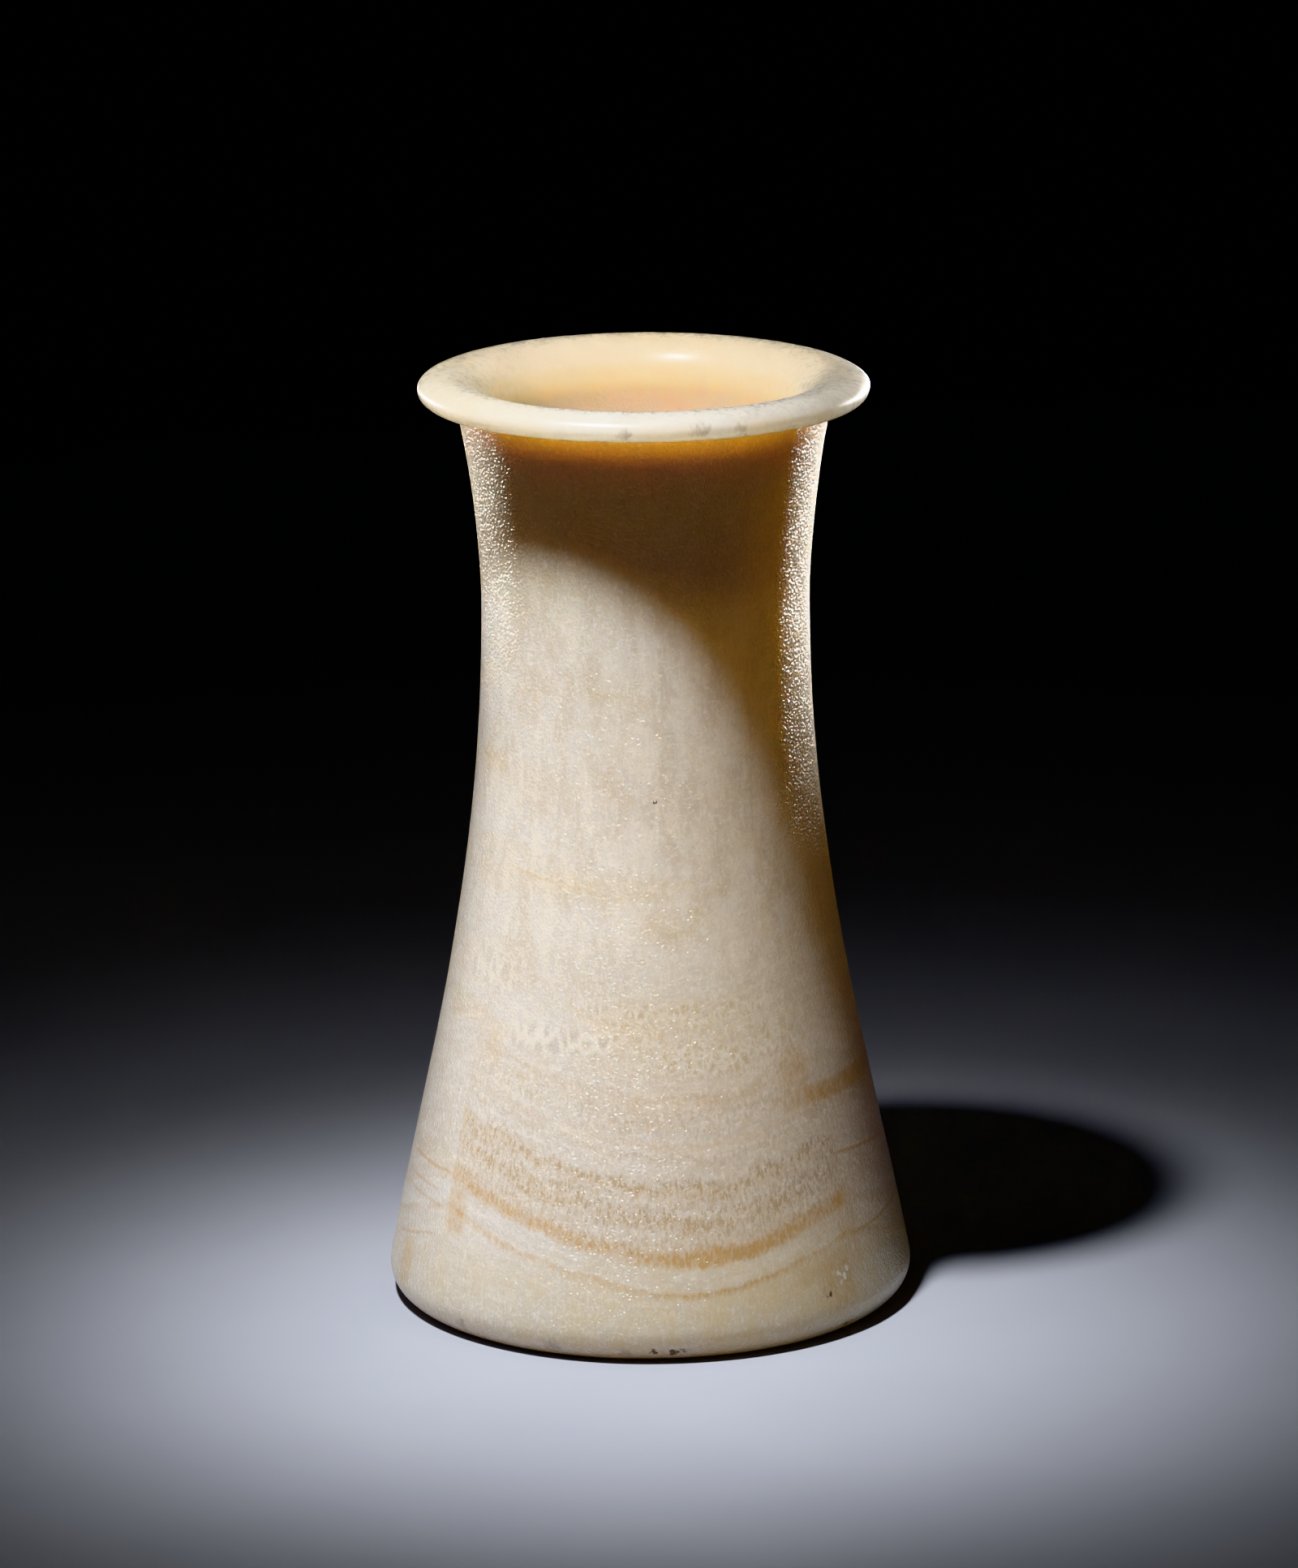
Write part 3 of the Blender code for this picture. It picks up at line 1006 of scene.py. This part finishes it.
def made_floor():
    """A flat floor that the jar stands on."""
    reach = FLOOR_REACH
    corners = [(-reach, -reach, 0), (reach, -reach, 0), (reach, reach, 0), (-reach, reach, 0)]
    mesh = bpy.data.meshes.new("floor")
    mesh.from_pydata(corners, [], [(0, 1, 2, 3)])
    mesh.materials.append(floor_finish())
    floor = bpy.data.objects.new("floor", mesh)
    bpy.context.scene.collection.objects.link(floor)
    return floor


# Camera, fitted to the outline of the jar
CAMERA_DISTANCE = 1.9729
CAMERA_ABOVE = math.radians(15.01)
AIM_LIFT = math.radians(0.384)
AIM_RIGHT = math.radians(0.017)
CAMERA_ROLL = math.radians(0.456)
FOCAL_PIXELS = 9152.8
PHOTO_TALL = 1933
SENSOR = 36.0  # mm, the taller side


def camera():
    """The camera at the photograph's place and angle."""
    data = bpy.data.cameras.new("camera")
    data.sensor_width = SENSOR
    data.lens = FOCAL_PIXELS / PHOTO_TALL * SENSOR
    data.clip_start = 0.1
    data.clip_end = 30.0
    made = bpy.data.objects.new("camera", data)
    bpy.context.scene.collection.objects.link(made)
    outward = Vector((0, -math.cos(CAMERA_ABOVE), math.sin(CAMERA_ABOVE)))
    eye = Vector((0, 0, HEIGHT / 2)) + CAMERA_DISTANCE * outward
    pitch = -(CAMERA_ABOVE - AIM_LIFT)
    flat = math.cos(pitch)
    ahead = Vector((math.sin(AIM_RIGHT) * flat, math.cos(AIM_RIGHT) * flat, math.sin(pitch)))
    level = ahead.cross(Vector((0, 0, 1))).normalized()
    upright = level.cross(ahead)
    right = level * math.cos(CAMERA_ROLL) - upright * math.sin(CAMERA_ROLL)
    up = upright * math.cos(CAMERA_ROLL) + level * math.sin(CAMERA_ROLL)
    turn = Matrix((right, up, -ahead)).transposed().to_4x4()
    made.matrix_world = Matrix.Translation(eye) @ turn
    bpy.context.scene.camera = made
    return made


def aimed(made, place, target):
    made.location = place
    made.rotation_mode = "QUATERNION"
    made.rotation_quaternion = (Vector(target) - Vector(place)).to_track_quat("-Z", "Y")
    bpy.context.scene.collection.objects.link(made)
    return made


def spot(name, place, target, power, angle, size, colour=(1, 1, 1)):
    data = bpy.data.lights.new(name, "SPOT")
    data.energy = power
    data.spot_size = math.radians(angle)
    data.spot_blend = 1.0
    data.shadow_soft_size = size
    data.color = colour
    return aimed(bpy.data.objects.new(name, data), place, target)


def panel(name, place, target, power, wide, tall, colour=(1, 1, 1), spread=180.0):
    data = bpy.data.lights.new(name, "AREA")
    data.spread = math.radians(spread)
    data.shape = "RECTANGLE"
    data.energy = power
    data.size = wide
    data.size_y = tall
    data.color = colour
    return aimed(bpy.data.objects.new(name, data), place, target)


# The key's place follows from the shadow that the rim casts on the neck and the floor
KEY_PLACE = (-0.217, -0.257, 0.958)
KEY_TARGET = (0.006, -0.036, 0.0)
KEY_SIZE = 0.040  # radius of the lamp's face
KEY_COLOUR = (1.0, 0.985, 0.965)
SPILL_COLOUR = (1.0, 0.93, 0.77)
KEY_LOBES = ((28.2, 19.8), (32.0, 26.3), (9.0, 43.3), (3.2, 100.0))  # watts, and the cone's angle in degrees
SPILL_ANGLE = 90.0  # a lobe wider than this is the lamp's spill

# Panels: name, place, target, watts, width, height, colour, spread in degrees, whether it shows in the gloss
PANELS = (
    ("edge_left", (-0.57, 0.645, 0.250), (-0.03, 0, 0.240), 0.078, 0.16, 0.04, (1.0, 0.94, 0.86), 10.0, True),
    ("left_card", (-1.20, 0.42, 0.120), (-0.05, 0, 0.060), 0.034, 0.30, 0.30, (1.0, 0.94, 0.88), 12.0, True),
    ("bore_glow", (0, -0.012, 0.222), (0, 0.041, 0.231), 0.0052, 0.05, 0.02, (0.72, 0.97, 0.66), 180, False),
    ("back", (0, 1.40, 0.55), (0, 0, 0.12), 4.0, 0.5, 0.6, (1, 1, 1), 180.0, False),
    ("warm_card", (0.25, -1.5, 0.60), (0, 0, 0.13), 0.09, 0.9, 0.9, (1.0, 0.50, 0.06), 180.0, False),
)
# The right edge light is a pair of strips side by side, so its shine on the turned neck is broad and soft
STRIP_TURNS = (144.5, 159.0)
STRIP_DISTANCE = 0.83
STRIP_HEIGHT = 0.222
STRIP_TARGET = (0.02, 0, 0.238)
STRIP_POWER = 0.170
STRIP_SIZE = (0.18, 0.06)
STRIP_SPREAD = 13.5
WORLD_COLOUR = (0.9, 0.95, 1.0, 1.0)
WORLD_STRENGTH = 0.003


def lights():
    """A gridded key above the front left, edge lights behind both sides, and panels for the jar alone."""
    for index, (power, angle) in enumerate(KEY_LOBES):
        colour = SPILL_COLOUR if angle > SPILL_ANGLE else KEY_COLOUR
        spot(f"key_{index}", KEY_PLACE, KEY_TARGET, power, angle, KEY_SIZE, colour)
    on_jar = bpy.data.collections.new("lit_by_panels")
    on_jar.objects.link(jar)
    panels = []
    for name, place, target, power, wide, tall, colour, spread, in_gloss in PANELS:
        made = panel(name, place, target, power, wide, tall, colour, spread)
        made.visible_glossy = in_gloss
        panels.append(made)
    for index, turn in enumerate(STRIP_TURNS):
        around = math.radians(turn)
        place = (STRIP_DISTANCE * math.sin(around), -STRIP_DISTANCE * math.cos(around), STRIP_HEIGHT)
        name = f"edge_right_{index}"
        panels.append(panel(name, place, STRIP_TARGET, STRIP_POWER, *STRIP_SIZE, spread=STRIP_SPREAD))
    for made in panels:
        made.light_linking.receiver_collection = on_jar
        made.visible_camera = False
    world = bpy.data.worlds.new("studio")
    world.use_nodes = True
    world.node_tree.nodes["Background"].inputs[0].default_value = WORLD_COLOUR
    world.node_tree.nodes["Background"].inputs[1].default_value = WORLD_STRENGTH
    bpy.context.scene.world = world


jar = turned("jar_stone", joined(bore_profile(), outer_profile()))
jar.data.materials.append(calcite())
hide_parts("jar")
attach(jar, "root")
made_floor()
camera()
lights()

view = bpy.context.scene.view_settings
view.view_transform = "Khronos PBR Neutral"
view.look = "None"
